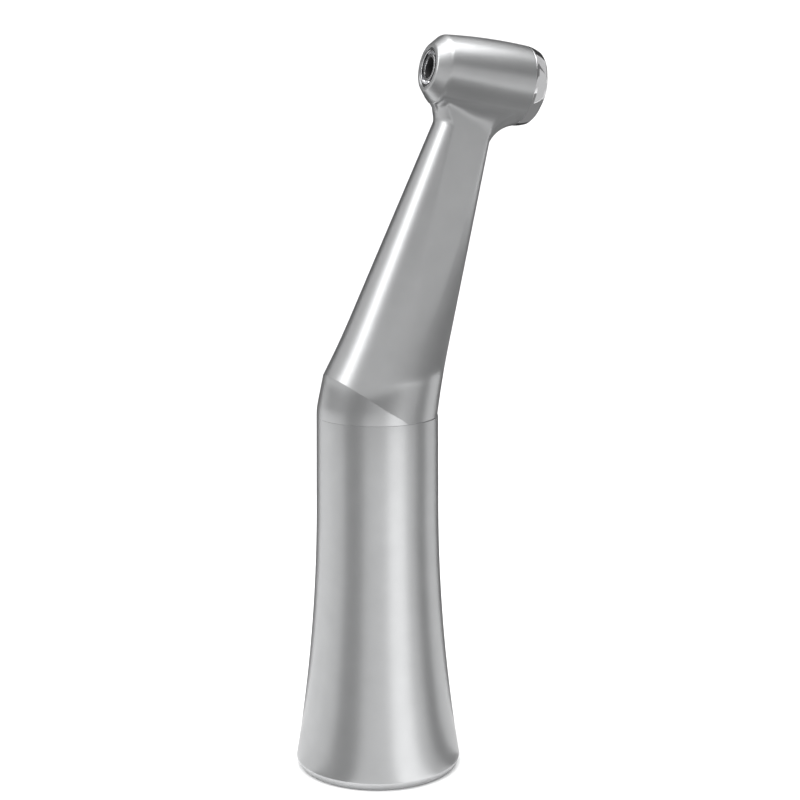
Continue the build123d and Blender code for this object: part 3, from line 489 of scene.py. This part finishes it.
def neck_blend():
    """Rows of the blend from neck to barrel, and where each azimuth leaves the neck.

    The blend is a quadratic curve for each azimuth. Its first control point is on the neck, its
    last on the barrel, and the middle one is where the neck's line meets the barrel's tangent
    plane at the last. At the nape the middle one is drawn towards the chord.
    """
    search_low, before, tiny = 30 * MM, 0.2 * MM, 1e-6
    chin_reach, side_reach, nape_reach, nape_pull = 0.42, 0.85, 2.3, 0.45
    sink, sink_reach = 0.06 * MM, 1.15
    zero = np.zeros(NECK_COLUMNS)
    meeting = halved(
        zero + search_low, zero + NECK_LENGTH, lambda s: outside_barrel(neck_surface(s)) > 0
    )
    hit = neck_surface(meeting)
    rise = (hit - neck_surface(meeting - before)) / before
    offset = hit - HEAD_POINT
    height = offset @ CAP_AXIS
    down = -(offset @ NECK_AXIS) + height * np.dot(NECK_AXIS, CAP_AXIS)
    turn = np.arctan2(offset @ NECK_Y, down)
    nape = np.maximum(np.cos(azimuth), 0) ** 2
    reach = (chin_reach + side_reach * np.sin(azimuth) ** 2 + nape_reach * nape) * MM
    step_along = reach * np.cos(azimuth)
    step_round = reach * np.sin(azimuth) / barrel_radius(height)
    end = height + step_along
    last, ray = on_barrel(end, turn + step_round)
    slope = (barrel_radius(end + tiny) - barrel_radius(end - tiny)) / (2 * tiny)
    normal = ray - slope[:, None] * CAP_AXIS
    back = np.sum((last - hit) * normal, axis=-1) / np.sum(rise * normal, axis=-1)
    leaves = meeting + back - reach
    first = neck_surface(leaves)
    corner = hit + back[:, None] * rise
    corner = corner + nape_pull * nape[:, None] * ((first + last) / 2 - corner)
    share = np.linspace(0, 1, 18)[1:, None, None]
    blend = (1 - share) ** 2 * first + 2 * share * (1 - share) * corner + share**2 * last
    sunk, _ = on_barrel(height + sink_reach * step_along, turn + sink_reach * step_round, sink)
    return np.concatenate([blend, sunk[None]]), leaves


def neck_points():
    """Rows of the closed neck: slanted face, cone and flats, blend to the barrel, bore, spigot."""
    edge_half, edge_gap, waist_top, waist_gap = 0.03 * MM, 0.06 * MM, 32.4 * MM, 0.5 * MM
    blend, leaves = neck_blend()
    zero = np.zeros(NECK_COLUMNS)
    bottom = halved(zero - 6 * MM, zero + 9 * MM, lambda s: neck_surface(s)[:, 2] < SLEEVE_TOP)
    crease = halved(bottom, zero + 15 * MM, lambda s: cone_radius(s) > slant_radius(s))
    crease = np.maximum(crease, bottom + edge_gap)
    waist = np.minimum(waist_top, leaves - waist_gap)
    face = spread(bottom, crease - edge_half, np.linspace(0, 1, 24))
    edge = spread(crease, crease + edge_half, [0, 1])
    long = spread(crease + edge_half, waist, np.linspace(0, 1, 110)[1:])
    under = spread(waist, leaves, np.linspace(0, 1, 34)[1:])
    shell = neck_surface(np.concatenate([face, edge, long, under]))
    rows = [shell, blend]

    # the stepped bore, down the neck's axis: shaft, bearing, nut and bend gears
    shaft, bearing, nut, gears = 2.05, 3.0, 3.6, 4.3
    bearing_top, nut_top, gears_top, gears_low = 7.3, 5.0, 3.7, 1.3
    bore = [(36.2, shaft), (bearing_top, shaft), (bearing_top, bearing), (nut_top, bearing)]
    bore += [(nut_top, nut), (gears_top, nut), (gears_top, gears), (gears_low, gears)]
    for along, radius in bore:
        centre = BEND_POINT + along * MM * NECK_AXIS
        rows.append(circle(centre, NECK_X, NECK_Y, radius * MM)[None])

    # the spigot inside the sleeve: its bore down, its outside up, with the groove for a seal
    shoulder, carrier, outside, groove = 43.4, 5.2, 6.3, 5.7
    low, groove_low, groove_high = 34.4, 37.05, 37.75
    spigot = [(44.0, gears), (shoulder, gears), (shoulder, carrier), (low, carrier), (low, outside)]
    spigot += [(groove_low, outside), (groove_low, groove), (groove_high, groove)]
    spigot += [(groove_high, outside), (shoulder, outside)]
    for height, radius in spigot:
        rows.append(circle(height * MM * UP, handle_axes[1], NECK_Y, radius * MM)[None])
    rows.append(shell[:1])
    return np.concatenate(rows)


neck = grid_mesh("neck_and_foot", neck_points(), satin_steel, 40.0)
fit(neck, "handpiece_body", "satin_metal", "head_neck_housing")


# ---- The head cap --------------------------------------------------------------------------
# A polished, chromed ring screwed into the back of the barrel, with two flats for a spanner. Its
# inner lip keeps the button in.

polished_chrome = paint("polished_chrome", (0.72, 0.72, 0.73), 0.10, 2500, 0.0000008, 1.0)
FLAT_LOW, FLAT_DISTANCE, CAP_TOP = 5.69 * MM, 4.25 * MM, 7.04 * MM


def cap_outline():
    """Seam face, gently bulging side, small top bevel, lip, and the skirt back down.

    The side tapers evenly and bulges in a parabola. A narrow ledge marks where the flats start.
    """
    lip, room, crown, underside = 3.40 * MM, 3.62 * MM, 4.15 * MM, 6.24 * MM
    chamfer, taper, bulge, tall, ledge_half = 0.02 * MM, 0.35 * MM, 0.24 * MM, 1.4 * MM, 0.004 * MM
    share = np.linspace(0, 1, 24)
    height = SEAM + 0.05 * MM + share * tall
    radius = SEAM_RADIUS - taper * share + bulge * share * (1 - share)
    side = np.stack([radius, height], axis=-1)
    step = np.argmax(height > FLAT_LOW)
    ledge = [(side[step, 0], FLAT_LOW - ledge_half), (side[step, 0], FLAT_LOW + ledge_half)]
    foot = eased([(THREAD_RADIUS, SEAM), (SEAM_RADIUS - chamfer, SEAM), side[1]], 0.04 * MM)
    top = [side[-2], side[-1], (crown, CAP_TOP), (lip, CAP_TOP), (lip, underside)]
    skirt = [(room, underside), (room, THREAD_LOW)]
    skirt += [(THREAD_RADIUS, THREAD_LOW), (THREAD_RADIUS, SEAM)]
    return np.concatenate([foot, side[2:step], ledge, side[step:-2], eased(top, 0.06 * MM), skirt])


def spanner_flats(radius, height, angle):
    """Cuts the radius back to two planes at +Y and -Y, above the flats' lower edge."""
    innermost = 3.7 * MM
    flat = FLAT_DISTANCE / np.maximum(np.abs(np.sin(angle)), 0.1)
    cut = (height > FLAT_LOW) & (radius > innermost)
    return np.where(cut, np.minimum(radius, flat), radius)


cap = turned(
    "cap_ring", cap_outline(), head_axes, polished_chrome, HEAD_COLUMNS, 20.0, spanner_flats
)
fit(cap, "handpiece_body", "polished_chrome", "head_cap")


# ---- The push-button -----------------------------------------------------------------------
# The polished disc pressed by the thumb to free the bur: a rounded edge outside, and a skirt and
# a centre plunger inside, turned in one piece.


def button_outline():
    """Plunger's end, well, skirt with its shoulder, then the rounded rim and the flat face."""
    plunger, well, skirt, rim, face_edge = 1.09 * MM, 3.10 * MM, 3.57 * MM, 3.35 * MM, 0.5 * MM
    plunger_end, well_floor, skirt_end = 6.01 * MM, 6.74 * MM, 5.79 * MM
    shoulder, rim_low, top, rim_ease = 6.24 * MM, 6.26 * MM, 7.64 * MM, 0.42 * MM
    inside = [(0, plunger_end), (plunger, plunger_end), (plunger, well_floor), (well, well_floor)]
    inside += [(well, skirt_end), (skirt, skirt_end), (skirt, shoulder), (rim, shoulder)]
    outside = eased([(rim, rim_low), (rim, top), (face_edge, top)], rim_ease, 12)
    return np.concatenate([inside, outside, [(0, top)]])


button = turned("button_disc", button_outline(), head_axes, polished_chrome, 160)
fit(button, "push_button_cap", "polished_chrome", "push_button")


# ---- The bur opening -----------------------------------------------------------------------
# A bright ring pressed into the barrel's face shields the bearing; inside it the hollow spindle
# turns, ground bright on its nose, with painted shade, near black, down its bore.

shield_front, shield_middle = -6.44 * MM, 2.1 * MM
shield_outline = [(shield_middle, shield_front), (SHIELD_RADIUS, shield_front)]
shield_outline += [(SHIELD_RADIUS, SHIELD_SEAT), (OPENING_RADIUS, SHIELD_SEAT)]
shield_outline += [(OPENING_RADIUS, shield_front), (shield_middle, shield_front)]
shield_outline = eased(shield_outline, 0.06 * MM)
shield = turned("shield_ring", shield_outline, head_axes, polished_chrome, 128)
fit(shield, "handpiece_body", "polished_chrome", "bur_side_shield")


def spindle_outline():
    """Nose, outside with the latch groove, end, then the counterbore and bore back to the nose."""
    outside, groove, counterbore, bore = 1.5875 * MM, 1.45 * MM, 1.39 * MM, 1.19 * MM
    nose, groove_low, groove_high, end = -6.37 * MM, -3.51 * MM, -2.42 * MM, 5.11 * MM
    nose_middle, counterbore_low, lead_in, lead_in_high = 1.4 * MM, 4.46 * MM, 1.24 * MM, -6.2 * MM
    front = [(nose_middle, nose), (outside, nose), (outside, groove_low), (groove, groove_low)]
    front += [(groove, groove_high), (outside, groove_high)]
    back = [(outside, end), (counterbore, end), (counterbore, counterbore_low)]
    back += [(bore, counterbore_low), (bore, lead_in_high), (lead_in, nose), (nose_middle, nose)]
    return np.concatenate([eased(front, 0.04 * MM), back])


SPINDLE_COLUMNS = 128
ground_steel = paint("ground_steel", (0.60, 0.60, 0.61), 0.16, 4000, 0.0000008, 1.0)
spindle = turned("spindle_tube", spindle_outline(), head_axes, ground_steel, SPINDLE_COLUMNS)
# the faces down the bore take a near-black, non-metal colour: painted shade for the deep hole
spindle.data.materials.append(paint("painted_bore_shade", (0.012, 0.012, 0.013), 0.55, 4000, 0.0000008, 0.0))
band = np.arange(len(spindle.data.polygons)) // SPINDLE_COLUMNS
bands = band[-1] + 1
bore_shade_faces = (band >= bands - 5) & (band < bands - 2)
spindle.data.polygons.foreach_set("material_index", bore_shade_faces.astype(np.int32))
fit(spindle, "chuck_spindle_group", "hardened_steel", "chuck_spindle")


# ---- The motor end -------------------------------------------------------------------------
# Under the sleeve's rim: the turned steel socket that takes the motor's nose, with the split
# spring ring that clicks onto it, and two rubber cords that seal the socket and the neck's foot.

machined_steel = paint("machined_steel", (0.52, 0.525, 0.535), 0.28, 5000, 0.0000010, 1.0)


def socket_outline():
    """Up the outside with two collars and a seal groove, then down the bore with a ring groove."""
    outside, collar, seal_groove = 5.8 * MM, 6.3 * MM, 5.72 * MM
    bore, ring_groove, mouth, lead_in = 4.8 * MM, 5.46 * MM, 5.05 * MM, 0.25 * MM
    collar_low, collar_high, upper_low, top = 1.6 * MM, 4.6 * MM, 15.2 * MM, 18.2 * MM
    seal_low, seal_high, ring_low, ring_high = 16.4 * MM, 17.0 * MM, 5.6 * MM, 6.4 * MM
    outline = [(outside, 0), (outside, collar_low), (collar, collar_low), (collar, collar_high)]
    outline += [(outside, collar_high), (outside, upper_low), (collar, upper_low)]
    outline += [(collar, seal_low), (seal_groove, seal_low), (seal_groove, seal_high)]
    outline += [(collar, seal_high), (collar, top)]
    outline += [(bore, top), (bore, ring_high), (ring_groove, ring_high), (ring_groove, ring_low)]
    outline += [(bore, ring_low), (bore, lead_in), (mouth, 0), (outside, 0)]
    return np.array(outline)


socket = turned("socket_tube", socket_outline(), handle_axes, machined_steel)
fit(socket, "handpiece_body", "machined_steel", "motor_socket")


def cord_ring(name, radius, cord, height, material, part_turn=None):
    """A round cord bent into a ring, radii and height in millimetres.

    part_turn, in radians, leaves a gap on the +X side and closes both ends.
    """
    around = np.linspace(0, 2 * pi, 24, endpoint=False)
    half = pi if part_turn is None else part_turn / 2
    angle = np.linspace(-half, half, 97) + pi
    out = radius * MM + cord * MM * np.cos(around)
    up = height * MM + cord * MM * np.sin(around)
    cosine, sine = np.cos(angle)[:, None], np.sin(angle)[:, None]
    points = np.stack([cosine * out, sine * out, up + 0 * sine], axis=-1)[::-1]
    ends = (None, None) if part_turn is None else (points[0].mean(axis=0), points[-1].mean(axis=0))
    return grid_mesh(name, points, material, 40.0, *ends)


spring_steel = paint("drawn_spring_steel", (0.58, 0.58, 0.58), 0.25, 6000, 0.0000008, 1.0)
SNAP_RING_TURN = radians(324)
snap_ring = cord_ring("snap_ring", 5.11, 0.3, 6.0, spring_steel, SNAP_RING_TURN)
fit(snap_ring, "handpiece_body", "spring_steel", "socket_snap_ring")
seal_rubber = paint("seal_rubber", (0.02, 0.02, 0.021), 0.6, 3000, 0.0000030, 0.0)
SEAL_RADIUS, SEAL_CORD = 6.05, 0.24
for name, node, height in (("socket_cord", "socket_seal", 16.7), ("foot_cord", "foot_seal", 37.4)):
    seal = cord_ring(name, SEAL_RADIUS, SEAL_CORD, height, seal_rubber)
    fit(seal, "handpiece_body", "seal_rubber", node)


# ---- The two springs -----------------------------------------------------------------------
# Coils of drawn wire. One lifts the button off the spindle, the other pushes the drive claw down
# towards the motor.


def coil_spring(node, body, axes, coils):
    """A helix of round wire in the room of its CAD solid.

    The wire's centre turns about the axis at one radius and rises evenly.
    """
    centre, x, y, z = axes
    solid = frame["nodes"][node]
    held = np.array([solid.matrix_world @ v.co for v in solid.data.vertices]) - centre
    height = held @ z
    out = np.linalg.norm(held - height[:, None] * z, axis=-1)
    wire, radius = (out.max() - out.min()) / 2, (out.max() + out.min()) / 2
    steps_per_coil = 48
    turn = np.linspace(0, 2 * pi * coils, int(steps_per_coil * coils) + 1)
    rise = np.linspace(height.min() + wire, height.max() - wire, len(turn))
    ray = np.cos(turn)[:, None] * x + np.sin(turn)[:, None] * y
    middle = centre + radius * ray + rise[:, None] * z
    around = np.linspace(0, 2 * pi, 16, endpoint=False)[None, :, None]
    points = middle[:, None] + wire * (np.cos(around) * ray[:, None] - np.sin(around) * z)
    spring = grid_mesh(node + "_wire", points, spring_steel, 40.0, middle[0], middle[-1])
    fit(spring, body, "spring_steel", node)
    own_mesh(spring)


BUTTON_COILS, CLUTCH_COILS = 2.5, 3
coil_spring("button_spring", "handpiece_body", head_axes, BUTTON_COILS)
coil_spring("clutch_spring", "rear_shaft_group", handle_axes, CLUTCH_COILS)


# ---- The works inside ----------------------------------------------------------------------
# Gears, shafts, bearings and nuts keep their machined shape and only take their finish:
# ground steel, milled gear steel, lapped balls and rings, brass cages, and a bronze bush.

finishes = {
    "machined_steel": machined_steel,
    "spring_steel": spring_steel,
    "hardened_steel": ground_steel,
    "gear_steel": paint("milled_gear_steel", (0.42, 0.425, 0.44), 0.32, 6000, 0.0000012, 1.0),
    "bronze": paint("bush_bronze", (0.46, 0.28, 0.12), 0.30, 5000, 0.0000010, 1.0),
    "bearing_steel": paint("lapped_bearing_steel", (0.66, 0.66, 0.68), 0.10, 5000, 0.0000004, 1.0),
    "cage_brass": paint("cage_brass", (0.55, 0.38, 0.15), 0.26, 5000, 0.0000010, 1.0),
}
for subpart in frame["record"]["subparts"]:
    node = frame["nodes"][subpart["node"]]
    if not node.hide_render:
        for place in node.material_slots:
            place.material = finishes[subpart["material_slot"]]
